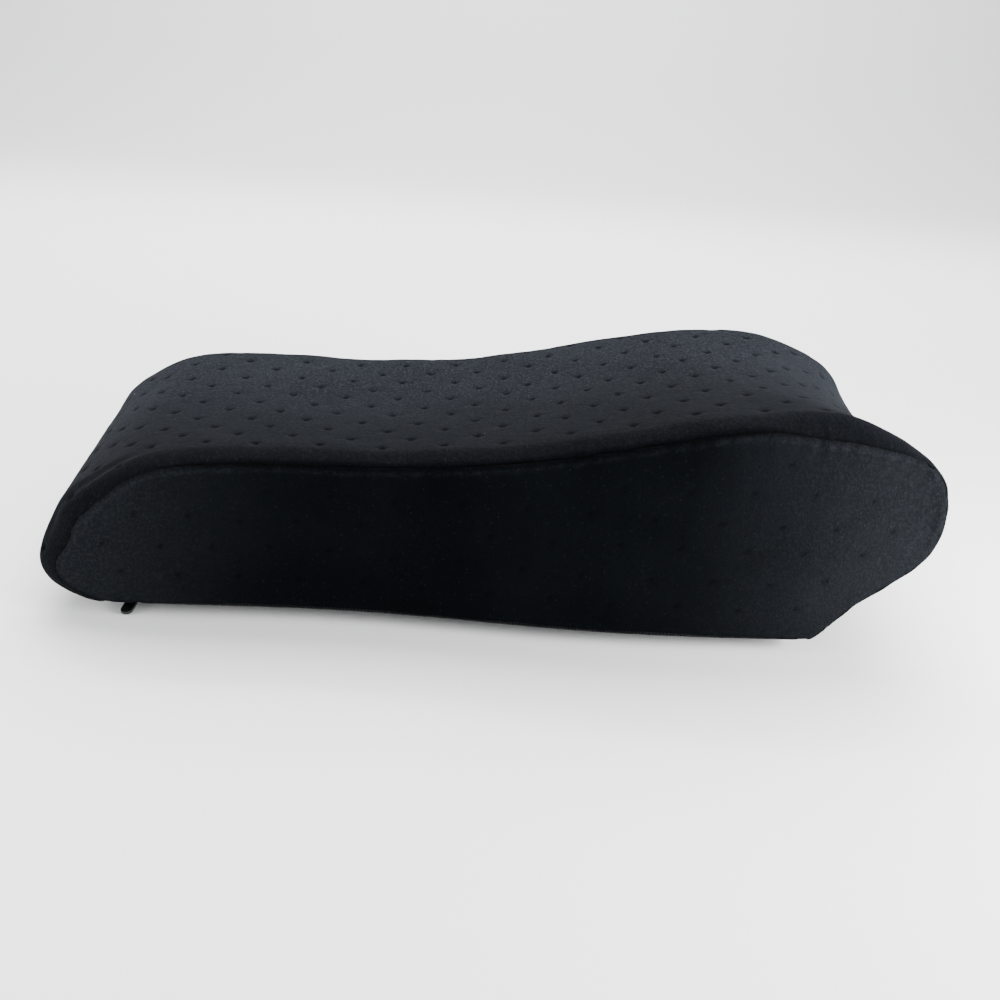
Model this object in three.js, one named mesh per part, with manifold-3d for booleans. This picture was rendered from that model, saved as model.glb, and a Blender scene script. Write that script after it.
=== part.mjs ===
// Contoured chair armrest pad: a moulded foam core in a sewn cover with an end zip
// and two hook-and-loop straps underneath.
// Units are millimetres. +X runs along the pad towards its high end, -Y is the near side, +Z is up.
// Z = 0 is the surface that the pad rests on, under the closed straps.
import * as THREE from 'three';
import * as BufferGeometryUtils from 'three/addons/utils/BufferGeometryUtils.js';
import Module from 'manifold-3d';

// Overall form
const BASE_Z = 3.5;              // height of the cover's underside
const HALF_WIDTH = 52;           // half the width at the side seams
const WIDTH_WAVE = 1.5;          // how far the sides swell and narrow along the length
const WAVE_LENGTH = 145;
const SIDE_BULGE = 1.0;          // how far a side panel is pushed out by the foam
const EDGE_WIDTH = 7;            // how far the rolled edge reaches in across the pad
const EDGE_WIDTH_UNDER = 4.5;    // the same along the underside
const EDGE_DROP = 3;             // how far the rolled edge falls over the top
const EDGE_DROP_CREST = 3.8;     // extra fall along the crest
const EDGE_DROP_LOW_TURN = 1.5;  // extra fall where the top turns down at the low end
const EDGE_LIFT_HIGH_TURN = 1.8; // how much less it falls where it turns down at the high end
const EDGE_DROP_LOW_FOOT = 3;    // fall round the foot of the low end
const EDGE_DROP_LOW_FACE = 5.2;  // extra fall up the face of the low end
const EDGE_DROP_HIGH_END = 3.2;  // fall round the high end
const EDGE_DROP_UNDER = 2;       // rise under the pad
const HOLLOW = 3.2;              // depth of the resting hollow along the top
const HOLLOW_HIGH_END = 3;       // extra depth at the high end
const SKEW_LOW = 9;              // how far the low end is pulled askew by the sewing
const SKEW_HIGH = 3;             // how far the high end is pulled askew
const MIDDLE_X = 4;              // a point well inside the side view
const MIDDLE_Z = 26;

// Cover and foam
const CLOTH = 1.2;               // thickness of the pile fabric with its backing
const GAP = 0.3;                 // clearance between neighbouring pieces
const FOAM_GAP = 0.6;            // clearance between the cover and the foam
const FOAM_INSET = CLOTH + FOAM_GAP;
const UNDERSIDE_SEAM_X = 85;     // where the wrap meets the underside at the high end

// Fineness of the curved surfaces
const STEPS_PER_SPAN = 4;
const UNDERSIDE_STEPS = 8;
const EDGE_STEPS = 3;
const FLAT_STEPS = 6;
const ARC_STEPS = 4;
const STRAP_STEPS = 6;
const SIDE_RINGS = [1, 0.85, 0.6, 0.3];

// End zip, running across the pad
const ZIP_X = -94;
const ZIP_HALF_LENGTH = 40;
const ZIP_HALF_SLOT = 3.6;
const COIL_PITCH = 2.5;
const COIL_GAP = 0.35;           // half the gap between the two coils
const COIL_WIDTH = 1.5;
const COIL_LOW = 0.1;            // heights below are above the cover's underside
const COIL_HIGH = 1.2;
const TAPE_LOW = 1.25;
const TAPE_HIGH = 1.65;
const TAPE_WIDTH = 4.6;
const TAPE_CORNER = 0.1;
const SLIDER_HALF_WIDTH = 3.2;
const SLIDER_HALF_LENGTH = 4;
const SLIDER_Y = -36;
const PLATE = 0.6;
const SLIDER_CLEARANCE = 0.25;
const SLIDER_CORNER = 1.2;
const SLIDER_POST = 0.3;         // thickness of the post between the two plates
const SLIDER_POST_START = 0.4;   // where the post starts and ends, behind the slider's front
const SLIDER_POST_END = 2;
const CHANNEL_HALF_WIDTH = 7.5;  // relief in the foam over the zip
const CHANNEL_HALF_LENGTH = 43.5;
const CHANNEL_HEIGHT = 2.8;
const CHANNEL_CORNER = 3;
const TAPE_END = 2;
const TAB_REACH = 0.92;          // inner end of a tab, as a fraction of the flat half width
const STOP_LENGTH = 1.4;
const STOP_CORNER = 0.3;
const PULL_WIDTH = 3;
const PULL_THICKNESS = 0.8;
const PULL_TIP_Y = -51;
const PULL_TILT = THREE.MathUtils.degToRad(6);
const PULL_HINGE_Y = SLIDER_Y - 1;
const PULL_HINGE_Z = BASE_Z - 1.35;
const PULL_BAR = 0.8;
const PULL_HOLE = 1.7;
const BAIL_WIDTH = 1.2;
const BAIL_BAR = 0.5;
const BAIL_OPENING = 1.7;
const BAIL_OPENING_HEIGHT = 1.2;

// Straps, two across the underside
const STRAP_XS = [-52, 52];
const STRAP_WIDTH = 25;
const WEB = 0.95;                // thickness of the elastic webbing
const PATCH = 0.7;               // thickness of each hook or loop patch
const PATCH_GAP = 0.03;          // between a patch and its webbing
const FACING_GAP = 0.04;         // between the hooks and the loops
const PATCH_CORNER = 1.5;
const PATCH_INSET = 0.5;         // how much narrower a patch is than its strap, each side
const PATCH_END_INSET = 1;
const ANCHOR_GAP = 0.1;          // between the sewn ends and the cover
const STRAP_RAMP = 14;           // length over which a strap drops from its sewn end
const LONG_HINGE_Y = 36;
const LONG_TIP_Y = -30;
const SHORT_HINGE_Y = -38;
const SHORT_TIP_Y = 3;
const ANCHOR_LENGTH = 7;
const ANCHOR_CORNER = 1;

// Care label
const LABEL_LENGTH = 14;
const LABEL_WIDTH = 24;
const LABEL_THICKNESS = 0.35;
const LABEL_CORNER = 0.8;

const COLOURS = {
  foam: 0xd9cfa6,
  velvet: 0x24282d,
  underside: 0x1b1d20,
  tape: 0x17181a,
  coil: 0x0e0f10,
  metal: 0x5d5f63,
  webbing: 0x191a1c,
  hook: 0x121314,
  loop: 0x1f2022,
  label: 0xd8d6cf
};

const group = new THREE.Group();
group.name = 'chair_armrest_pad';

function smooth(low, high, value) {
  const t = Math.min(Math.max((value - low) / (high - low), 0), 1);
  return t * t * (3 - 2 * t);
}

// Side view of the pad, from the flat underside round the low end, over the top and
// round the high end back to the underside.
const SIDE_VIEW = [
  [-60, 0],
  [-99.5, 0],
  [-113.8, 4.9],
  [-120.3, 12.8],
  [-119.4, 24.5],
  [-108, 35],
  [-93, 42],
  [-23, 46],
  [6, 50],
  [61, 62],
  [91, 63.6],
  [117.4, 48.8],
  [118.9, 29],
  [98.6, 10.2],
  [87.6, 0],
  [80, 0],
  [45, 0]
];

function halfWidth(x) {
  return HALF_WIDTH + WIDTH_WAVE * Math.sin(2 * Math.PI * x / WAVE_LENGTH);
}

// Rings of points round the pad's side view, each with the direction that faces out.
function sideStations() {
  const points = SIDE_VIEW.map(([x, z]) => new THREE.Vector3(x, 0, z));
  const curve = new THREE.CatmullRomCurve3(points, false, 'centripetal');
  const spans = points.length - 1;
  const around = [];
  for (let k = STEPS_PER_SPAN; k <= (spans - 2) * STEPS_PER_SPAN; k++) {
    const point = curve.getPoint(k / (spans * STEPS_PER_SPAN));
    around.push(new THREE.Vector2(point.x, Math.max(point.z, 0)));
  }
  const last = around[around.length - 1].x;
  const first = around[0].x;
  for (let k = 1; k < UNDERSIDE_STEPS; k++) {
    around.push(new THREE.Vector2(last + (first - last) * k / UNDERSIDE_STEPS, 0));
  }
  return around.map((point, index) => {
    const before = around[(index + around.length - 1) % around.length];
    const after = around[(index + 1) % around.length];
    const along = after.clone().sub(before).normalize();
    return { x: point.x, z: point.y, outX: -along.y, outZ: along.x };
  });
}

function flatStation(x) {
  return { x, z: 0, outX: 0, outZ: -1 };
}

// How far the rolled edge reaches in across the pad.
function edgeWidth(station) {
  const under = Math.max(-station.outZ, 0);
  return EDGE_WIDTH_UNDER * under + EDGE_WIDTH * (1 - under);
}

// How far the rolled edge falls away from the pad's surface at the seam.
function edgeDrop(station) {
  const level = Math.abs(station.outZ);
  const crest = smooth(62, 84, station.x) * (1 - smooth(86, 116, station.x));
  const top = EDGE_DROP + EDGE_DROP_CREST * crest
    + EDGE_DROP_LOW_TURN * smooth(100, 114, -station.x)
    - EDGE_LIFT_HIGH_TURN * smooth(100, 114, station.x);
  const flat = station.outZ > 0 ? top : EDGE_DROP_UNDER;
  const lowEnd = EDGE_DROP_LOW_FOOT + EDGE_DROP_LOW_FACE * smooth(4, 15, station.z);
  const end = station.outX < 0 ? lowEnd : EDGE_DROP_HIGH_END;
  return flat * level + end * (1 - level);
}

// Depth of the resting hollow along the middle of the top. It fades out at the low end.
function hollowDepth(station) {
  const low = HOLLOW * (1 - smooth(88, 110, -station.x));
  const depth = low + HOLLOW_HIGH_END * smooth(60, 120, station.x);
  return depth * smooth(-0.2, 0.6, station.outZ);
}

// The ends of the pad are pulled slightly askew by the sewing.
function place(x, y, z) {
  const low = SKEW_LOW * smooth(45, 105, -x);
  const high = SKEW_HIGH * smooth(60, 110, x);
  const shift = (high - low) * smooth(0, 25, z) * y / HALF_WIDTH;
  return new THREE.Vector3(x + shift, y, z + BASE_Z);
}

// Steps across the pad from the near seam to the far seam. An edge step is an angle
// round the rolled edge; a flat step is a fraction of the flat between the two edges.
function acrossSteps() {
  const steps = [];
  for (let k = 0; k < EDGE_STEPS; k++) {
    steps.push({ side: -1, turn: Math.PI / 2 * (1 - k / EDGE_STEPS), flat: 1 });
  }
  for (let k = 0; k <= FLAT_STEPS; k++) {
    steps.push({ side: 1, turn: 0, flat: -1 + 2 * k / FLAT_STEPS });
  }
  for (let k = 1; k <= EDGE_STEPS; k++) {
    steps.push({ side: 1, turn: Math.PI / 2 * k / EDGE_STEPS, flat: 1 });
  }
  return steps;
}

// A point on the pad's skin, moved inwards by depth.
function skinPoint(station, step, depth) {
  const half = halfWidth(station.x);
  const width = edgeWidth(station);
  const level = Math.cos(step.turn);
  const y = step.side * ((half - width) * step.flat + width * Math.sin(step.turn));
  const hollow = hollowDepth(station) * (1 - (y / half) ** 2);
  const inward = edgeDrop(station) * (1 - level) + hollow + depth * level;
  const x = station.x - station.outX * inward;
  const z = station.z - station.outZ * inward;
  return place(x, y - step.side * Math.sin(step.turn) * depth, z);
}

// A ring of points on a side panel. Scale 1 is the seam and 0 is the middle.
function sideRing(stations, side, scale, trim, depth) {
  return stations.map((station) => {
    const inward = edgeDrop(station) + trim;
    const x = MIDDLE_X + (station.x - station.outX * inward - MIDDLE_X) * scale;
    const z = MIDDLE_Z + (station.z - station.outZ * inward - MIDDLE_Z) * scale;
    const y = side * (halfWidth(x) + SIDE_BULGE * (1 - scale * scale) - depth);
    return place(x, y, z);
  });
}

function sideMiddle(side, depth) {
  return [place(MIDDLE_X, side * (halfWidth(MIDDLE_X) + SIDE_BULGE - depth), MIDDLE_Z)];
}

// A closed geometry from points and triangles, turned so that it faces out.
function closedGeometry(points, triangles) {
  const volume = triangles.reduce((sum, [a, b, c]) => {
    return sum + points[a].dot(new THREE.Vector3().crossVectors(points[b], points[c]));
  }, 0);
  const facing = volume < 0 ? triangles.map(([a, b, c]) => [a, c, b]) : triangles;
  const geometry = new THREE.BufferGeometry().setFromPoints(points);
  geometry.setIndex(facing.flat());
  return geometry;
}

// A closed body from a stack of rings. A ring of one point closes an end.
function stackRings(rings) {
  const points = rings.flat();
  const triangles = [];
  let start = 0;
  for (let r = 0; r + 1 < rings.length; r++) {
    const here = rings[r].length;
    const next = rings[r + 1].length;
    const count = Math.max(here, next);
    for (let k = 0; k < count; k++) {
      const after = (k + 1) % count;
      const a = start + k % here;
      const b = start + after % here;
      const c = start + here + k % next;
      const d = start + here + after % next;
      if (a !== b) {
        triangles.push([a, b, c]);
      }
      if (c !== d) {
        triangles.push([b, d, c]);
      }
    }
    start += here;
  }
  return closedGeometry(points, triangles);
}

// A closed sheet between an outer and an inner grid of points.
function closedSheet(outer, inner) {
  const rings = outer.map((row, k) => row.concat(inner[k].slice().reverse()));
  const geometryPoints = rings.flat();
  const size = rings[0].length;
  const triangles = [];
  for (let r = 0; r + 1 < rings.length; r++) {
    for (let k = 0; k < size; k++) {
      const a = r * size + k;
      const b = r * size + (k + 1) % size;
      triangles.push([a, b, a + size], [b, b + size, a + size]);
    }
  }
  const width = size / 2;
  const lastRing = (rings.length - 1) * size;
  for (let k = 0; k + 1 < width; k++) {
    const back = size - 1 - k;
    triangles.push([k, back, k + 1], [k + 1, back, back - 1]);
    triangles.push([lastRing + k, lastRing + k + 1, lastRing + back]);
    triangles.push([lastRing + k + 1, lastRing + back - 1, lastRing + back]);
  }
  return closedGeometry(geometryPoints, triangles);
}

function addMesh(name, geometry, colour, roughness, metalness = 0) {
  geometry.computeVertexNormals();
  const material = new THREE.MeshStandardMaterial({ color: colour, roughness, metalness });
  material.name = name;
  const mesh = new THREE.Mesh(geometry, material);
  mesh.name = name;
  group.add(mesh);
}

function rectangle(left, low, right, high, radius) {
  const shape = new THREE.Shape();
  shape.absarc(right - radius, low + radius, radius, -Math.PI / 2, 0, false);
  shape.absarc(right - radius, high - radius, radius, 0, Math.PI / 2, false);
  shape.absarc(left + radius, high - radius, radius, Math.PI / 2, Math.PI, false);
  shape.absarc(left + radius, low + radius, radius, Math.PI, Math.PI * 1.5, false);
  shape.closePath();
  return shape;
}

// A plan shape raised from one height to another above the resting surface.
function raise(shape, low, high) {
  const geometry = new THREE.ExtrudeGeometry(shape, {
    depth: high - low,
    bevelEnabled: false,
    curveSegments: ARC_STEPS
  });
  return geometry.translate(0, 0, low);
}

// A shape drawn in the YZ plane, widened along X about a middle position.
function widen(shape, middle, width) {
  const geometry = new THREE.ExtrudeGeometry(shape, {
    depth: width,
    bevelEnabled: false,
    curveSegments: ARC_STEPS
  });
  geometry.translate(0, 0, -width / 2);
  const turn = new THREE.Matrix4().makeBasis(
    new THREE.Vector3(0, 1, 0),
    new THREE.Vector3(0, 0, 1),
    new THREE.Vector3(1, 0, 0)
  );
  return geometry.applyMatrix4(turn).translate(middle, 0, 0);
}

// Solid modelling: joining and cutting closed geometries.
const wasm = await Module();
wasm.setup();

function toSolid(geometry) {
  const plain = geometry.clone();
  plain.deleteAttribute('normal');
  plain.deleteAttribute('uv');
  const merged = BufferGeometryUtils.mergeVertices(plain, 1e-4);
  return new wasm.Manifold(new wasm.Mesh({
    numProp: 3,
    vertProperties: new Float32Array(merged.attributes.position.array),
    triVerts: new Uint32Array(merged.index.array)
  }));
}

function toGeometry(solid) {
  const mesh = solid.getMesh();
  const geometry = new THREE.BufferGeometry();
  geometry.setAttribute('position', new THREE.BufferAttribute(mesh.vertProperties, 3));
  geometry.setIndex(new THREE.BufferAttribute(mesh.triVerts, 1));
  return geometry;
}

// Cover and foam core
const stations = sideStations();
const steps = acrossSteps();
const overTop = stations.slice(0, stations.length - UNDERSIDE_STEPS + 1);

function sheetOver(row, across = steps) {
  const outer = row.map((station) => across.map((step) => skinPoint(station, step, 0)));
  const inner = row.map((station) => across.map((step) => skinPoint(station, step, CLOTH)));
  return closedSheet(outer, inner);
}

const wrapRow = [
  flatStation(ZIP_X - ZIP_HALF_SLOT),
  ...overTop,
  flatStation(UNDERSIDE_SEAM_X)
];
addMesh('cover_top_wrap', sheetOver(wrapRow), COLOURS.velvet, 0.95);

const undersideRow = [];
const undersideStart = ZIP_X + ZIP_HALF_SLOT;
const undersideEnd = UNDERSIDE_SEAM_X - GAP;
for (let k = 0; k <= UNDERSIDE_STEPS; k++) {
  const x = undersideStart + (undersideEnd - undersideStart) * k / UNDERSIDE_STEPS;
  undersideRow.push(flatStation(x));
}
addMesh('cover_underside', sheetOver(undersideRow), COLOURS.underside, 0.9);

function sidePanel(side) {
  const outer = SIDE_RINGS.map((scale) => sideRing(stations, side, scale, GAP, 0));
  const inner = SIDE_RINGS.map((scale) => sideRing(stations, side, scale, GAP, CLOTH));
  return stackRings([
    sideMiddle(side, 0),
    ...outer.reverse(),
    ...inner,
    sideMiddle(side, CLOTH)
  ]);
}

addMesh('side_panel_near', sidePanel(-1), COLOURS.velvet, 0.95);
addMesh('side_panel_far', sidePanel(1), COLOURS.velvet, 0.95);

function foamCore() {
  const innerScales = SIDE_RINGS.slice(1);
  const nearRings = innerScales.map((scale) => sideRing(stations, -1, scale, 0, FOAM_INSET));
  const farRings = innerScales.map((scale) => sideRing(stations, 1, scale, 0, FOAM_INSET));
  const skinRings = steps.map((step) => {
    return stations.map((station) => skinPoint(station, step, FOAM_INSET));
  });
  const block = stackRings([
    sideMiddle(-1, FOAM_INSET),
    ...nearRings.reverse(),
    ...skinRings,
    ...farRings,
    sideMiddle(1, FOAM_INSET)
  ]);
  const channel = raise(
    rectangle(ZIP_X - CHANNEL_HALF_WIDTH, -CHANNEL_HALF_LENGTH,
      ZIP_X + CHANNEL_HALF_WIDTH, CHANNEL_HALF_LENGTH, CHANNEL_CORNER),
    0,
    BASE_Z + CHANNEL_HEIGHT
  );
  return toGeometry(toSolid(block).subtract(toSolid(channel)));
}

addMesh('foam_core', foamCore(), COLOURS.foam, 0.9);

// Zip across the low end of the underside, between two cloth tabs that close its ends
function zipTab(side) {
  const row = [
    flatStation(ZIP_X - ZIP_HALF_SLOT + GAP),
    flatStation(ZIP_X),
    flatStation(ZIP_X + ZIP_HALF_SLOT - GAP)
  ];
  const across = [{ side, turn: 0, flat: TAB_REACH }];
  for (let k = 0; k <= EDGE_STEPS; k++) {
    across.push({ side, turn: Math.PI / 2 * k / EDGE_STEPS, flat: 1 });
  }
  return sheetOver(row, across);
}

addMesh('zip_tab_near', zipTab(-1), COLOURS.velvet, 0.95);
addMesh('zip_tab_far', zipTab(1), COLOURS.velvet, 0.95);

function zipTape(side) {
  const inside = ZIP_X + side * COIL_GAP;
  const outside = ZIP_X + side * (COIL_GAP + TAPE_WIDTH);
  const shape = rectangle(
    Math.min(inside, outside),
    -ZIP_HALF_LENGTH - TAPE_END,
    Math.max(inside, outside),
    ZIP_HALF_LENGTH + TAPE_END,
    TAPE_CORNER
  );
  return raise(shape, BASE_Z + TAPE_LOW, BASE_Z + TAPE_HIGH);
}

function zipCoil(side) {
  const shape = new THREE.Shape();
  const spine = ZIP_X + side * (COIL_GAP + COIL_WIDTH / 2);
  const tip = ZIP_X + side * COIL_GAP;
  const outside = ZIP_X + side * (COIL_GAP + COIL_WIDTH);
  shape.moveTo(outside, -ZIP_HALF_LENGTH);
  shape.lineTo(outside, ZIP_HALF_LENGTH);
  const count = Math.round(2 * ZIP_HALF_LENGTH / COIL_PITCH);
  for (let k = 0; k < count; k++) {
    const top = ZIP_HALF_LENGTH - k * COIL_PITCH;
    shape.lineTo(spine, top);
    shape.lineTo(spine, top - COIL_PITCH * 0.25);
    shape.lineTo(tip, top - COIL_PITCH * 0.35);
    shape.lineTo(tip, top - COIL_PITCH * 0.75);
    shape.lineTo(spine, top - COIL_PITCH * 0.85);
  }
  shape.lineTo(spine, -ZIP_HALF_LENGTH);
  shape.closePath();
  return raise(shape, BASE_Z + COIL_LOW, BASE_Z + COIL_HIGH);
}

addMesh('zip_tape_end', zipTape(-1), COLOURS.tape, 0.85);
addMesh('zip_tape_underside', zipTape(1), COLOURS.tape, 0.85);
addMesh('zip_coil_end', zipCoil(-1), COLOURS.coil, 0.5);
addMesh('zip_coil_underside', zipCoil(1), COLOURS.coil, 0.5);

function zipStop(near, far) {
  const half = COIL_GAP + COIL_WIDTH;
  const shape = rectangle(ZIP_X - half, near, ZIP_X + half, far, STOP_CORNER);
  return raise(shape, BASE_Z - COIL_LOW, BASE_Z + COIL_HIGH);
}

const stopStart = ZIP_HALF_LENGTH + GAP;
const stopEnd = stopStart + STOP_LENGTH;
addMesh('zip_stop_near', zipStop(-stopEnd, -stopStart), COLOURS.metal, 0.4, 0.9);
addMesh('zip_stop_far', zipStop(stopStart, stopEnd), COLOURS.metal, 0.4, 0.9);

function zipSlider() {
  const front = SLIDER_Y - SLIDER_HALF_LENGTH;
  const back = SLIDER_Y + SLIDER_HALF_LENGTH;
  const left = ZIP_X - SLIDER_HALF_WIDTH;
  const right = ZIP_X + SLIDER_HALF_WIDTH;
  const plan = rectangle(left, front, right, back, SLIDER_CORNER);
  const outerTop = BASE_Z + COIL_LOW - SLIDER_CLEARANCE;
  const innerLow = BASE_Z + TAPE_HIGH + SLIDER_CLEARANCE;
  const outerPlate = raise(plan, outerTop - PLATE, outerTop);
  const innerPlate = raise(plan, innerLow, innerLow + PLATE);
  const postPlan = rectangle(
    ZIP_X - SLIDER_POST / 2,
    front + SLIDER_POST_START,
    ZIP_X + SLIDER_POST / 2,
    front + SLIDER_POST_END,
    TAPE_CORNER
  );
  const post = raise(postPlan, outerTop - PLATE / 2, innerLow + PLATE / 2);
  const bail = new THREE.Shape();
  const reach = BAIL_OPENING / 2 + BAIL_BAR;
  const root = outerTop - PLATE / 2;
  const crest = PULL_HINGE_Z - BAIL_OPENING_HEIGHT / 2;
  bail.moveTo(PULL_HINGE_Y - reach, root);
  bail.lineTo(PULL_HINGE_Y - reach, crest);
  bail.lineTo(PULL_HINGE_Y - reach + BAIL_BAR, crest - BAIL_BAR);
  bail.lineTo(PULL_HINGE_Y + reach - BAIL_BAR, crest - BAIL_BAR);
  bail.lineTo(PULL_HINGE_Y + reach, crest);
  bail.lineTo(PULL_HINGE_Y + reach, root);
  bail.lineTo(PULL_HINGE_Y + reach - BAIL_BAR, root);
  bail.lineTo(PULL_HINGE_Y + reach - BAIL_BAR, crest);
  bail.lineTo(PULL_HINGE_Y - reach + BAIL_BAR, crest);
  bail.lineTo(PULL_HINGE_Y - reach + BAIL_BAR, root);
  bail.closePath();
  const joined = toSolid(outerPlate)
    .add(toSolid(innerPlate))
    .add(toSolid(post))
    .add(toSolid(widen(bail, ZIP_X, BAIL_WIDTH)));
  return toGeometry(joined);
}

addMesh('zip_slider', zipSlider(), COLOURS.metal, 0.35, 0.9);

// The pull is drawn flat with its hinge bar at the origin and its tip towards -Y.
function zipPull() {
  const half = PULL_WIDTH / 2;
  const length = PULL_HINGE_Y - PULL_TIP_Y;
  const shape = new THREE.Shape();
  shape.moveTo(half, PULL_BAR / 2);
  shape.lineTo(-half, PULL_BAR / 2);
  shape.lineTo(-half, half - length);
  shape.absarc(0, half - length, half, Math.PI, 2 * Math.PI, false);
  shape.closePath();
  const hole = new THREE.Path();
  const holeHalf = BAIL_WIDTH / 2 + GAP;
  hole.moveTo(-holeHalf, -PULL_BAR / 2);
  hole.lineTo(holeHalf, -PULL_BAR / 2);
  hole.lineTo(holeHalf, -PULL_BAR / 2 - PULL_HOLE);
  hole.lineTo(-holeHalf, -PULL_BAR / 2 - PULL_HOLE);
  hole.closePath();
  shape.holes.push(hole);
  const geometry = raise(shape, -PULL_THICKNESS / 2, PULL_THICKNESS / 2);
  return geometry.rotateX(PULL_TILT).translate(ZIP_X, PULL_HINGE_Y, PULL_HINGE_Z);
}

addMesh('zip_pull', zipPull(), COLOURS.metal, 0.35, 0.9);

// Straps across the underside: the long one is sewn at the far side and laps under the
// short one, which is sewn at the near side.
const LONG_Z = WEB / 2;
const HOOK_Z = WEB + PATCH_GAP;
const LOOP_Z = HOOK_Z + PATCH + FACING_GAP;
const SHORT_Z = BASE_Z - ANCHOR_GAP - WEB / 2;

// A strap's edge view: level at its sewn end, then down to its free end.
function strapShape(hingeY, tipY, tipZ) {
  const direction = Math.sign(tipY - hingeY);
  const top = [];
  const under = [];
  for (let k = 0; k <= STRAP_STEPS; k++) {
    const travel = STRAP_RAMP * k / STRAP_STEPS;
    const y = hingeY + direction * travel;
    const z = SHORT_Z + (tipZ - SHORT_Z) * smooth(0, STRAP_RAMP, travel);
    top.push(new THREE.Vector2(y, z + WEB / 2));
    under.push(new THREE.Vector2(y, z - WEB / 2));
  }
  top.push(new THREE.Vector2(tipY, tipZ + WEB / 2));
  under.push(new THREE.Vector2(tipY, tipZ - WEB / 2));
  return new THREE.Shape(top.concat(under.reverse()));
}

function patch(middle, near, far, low) {
  const shape = rectangle(
    middle - STRAP_WIDTH / 2 + PATCH_INSET,
    near,
    middle + STRAP_WIDTH / 2 - PATCH_INSET,
    far,
    PATCH_CORNER
  );
  return raise(shape, low, low + PATCH);
}

function anchor(middle, near, far) {
  const half = STRAP_WIDTH / 2;
  const shape = rectangle(middle - half, near, middle + half, far, ANCHOR_CORNER);
  return raise(shape, SHORT_Z - WEB / 2, SHORT_Z + WEB / 2);
}

STRAP_XS.forEach((middle) => {
  const end = middle < 0 ? 'low_end' : 'high_end';
  const longWeb = widen(strapShape(LONG_HINGE_Y, LONG_TIP_Y, LONG_Z), middle, STRAP_WIDTH);
  const shortWeb = widen(strapShape(SHORT_HINGE_Y, SHORT_TIP_Y, SHORT_Z), middle, STRAP_WIDTH);
  const farAnchor = anchor(middle, LONG_HINGE_Y + GAP, LONG_HINGE_Y + GAP + ANCHOR_LENGTH);
  const nearAnchor = anchor(middle, SHORT_HINGE_Y - GAP - ANCHOR_LENGTH, SHORT_HINGE_Y - GAP);
  const patchNear = LONG_TIP_Y + PATCH_END_INSET;
  const patchFar = SHORT_TIP_Y - PATCH_END_INSET;
  const hooks = patch(middle, patchNear, patchFar, HOOK_Z);
  const loops = patch(middle, patchNear, patchFar, LOOP_Z);
  addMesh(`strap_anchor_far_${end}`, farAnchor, COLOURS.webbing, 0.8);
  addMesh(`strap_long_${end}`, longWeb, COLOURS.webbing, 0.8);
  addMesh(`hook_patch_${end}`, hooks, COLOURS.hook, 0.7);
  addMesh(`strap_anchor_near_${end}`, nearAnchor, COLOURS.webbing, 0.8);
  addMesh(`strap_short_${end}`, shortWeb, COLOURS.webbing, 0.8);
  addMesh(`loop_patch_${end}`, loops, COLOURS.loop, 0.95);
});

// Blank care label sewn in at the high end of the underside
const labelShape = rectangle(
  UNDERSIDE_SEAM_X - LABEL_LENGTH,
  -LABEL_WIDTH / 2,
  UNDERSIDE_SEAM_X - GAP,
  LABEL_WIDTH / 2,
  LABEL_CORNER
);
const labelTop = BASE_Z - ANCHOR_GAP;
addMesh('care_label', raise(labelShape, labelTop - LABEL_THICKNESS, labelTop), COLOURS.label, 0.8);

// The frame's origin is under the middle of the pad.
const middle = new THREE.Box3().setFromObject(group).getCenter(new THREE.Vector3());
group.children.forEach((mesh) => mesh.geometry.translate(-middle.x, -middle.y, 0));

export default group;
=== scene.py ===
import math

import bmesh
import bpy
import numpy as np
from mathutils import Matrix, Vector


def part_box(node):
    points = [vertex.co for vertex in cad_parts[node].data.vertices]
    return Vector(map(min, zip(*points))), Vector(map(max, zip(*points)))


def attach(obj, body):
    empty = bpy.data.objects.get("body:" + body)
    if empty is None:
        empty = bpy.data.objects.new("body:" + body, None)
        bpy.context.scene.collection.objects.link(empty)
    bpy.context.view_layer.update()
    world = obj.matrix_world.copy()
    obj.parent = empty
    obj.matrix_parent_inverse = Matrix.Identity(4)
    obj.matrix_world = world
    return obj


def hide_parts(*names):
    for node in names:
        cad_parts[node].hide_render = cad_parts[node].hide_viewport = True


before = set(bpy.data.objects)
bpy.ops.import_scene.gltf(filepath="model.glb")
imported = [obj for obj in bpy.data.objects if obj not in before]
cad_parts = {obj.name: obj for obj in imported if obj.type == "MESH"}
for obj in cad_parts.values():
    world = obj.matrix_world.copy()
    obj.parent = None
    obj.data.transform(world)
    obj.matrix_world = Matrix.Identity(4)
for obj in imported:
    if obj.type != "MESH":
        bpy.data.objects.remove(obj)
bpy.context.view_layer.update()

# A contoured chair armrest pad: foam in a sewn velvet cover, with an end zip and two
# hook-and-loop straps underneath. Shapes are worked out in millimetres.
MM = 0.001
BASE_Z = 3.5                # height of the cover's underside
SHIFT_X = 2.6835            # moves the outline so that the pad's box is centred on X = 0
HALF_WIDTH = 52.0           # half the width at the side seams
WIDTH_WAVE = 1.5            # how far the sides swell and narrow along the length
WAVE_LENGTH = 145.0
SIDE_BULGE = 1.0            # how far a side panel is pushed out by the foam
EDGE_WIDTH = 7.0            # how far the rolled edge reaches in across the pad
EDGE_WIDTH_UNDER = 4.5      # the same along the underside
EDGE_DROP = 3.0             # how far the rolled edge falls over the top
EDGE_DROP_CREST = 3.8       # extra fall along the crest
EDGE_DROP_LOW_TURN = 1.5    # extra fall where the top turns down at the low end
EDGE_LIFT_HIGH_TURN = 1.8   # how much less it falls where it turns down at the high end
EDGE_DROP_LOW_FOOT = 3.0    # fall round the foot of the low end
EDGE_DROP_LOW_FACE = 5.2    # extra fall up the face of the low end
EDGE_DROP_HIGH_END = 3.2    # fall round the high end
EDGE_DROP_UNDER = 2.0       # rise under the pad
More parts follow.
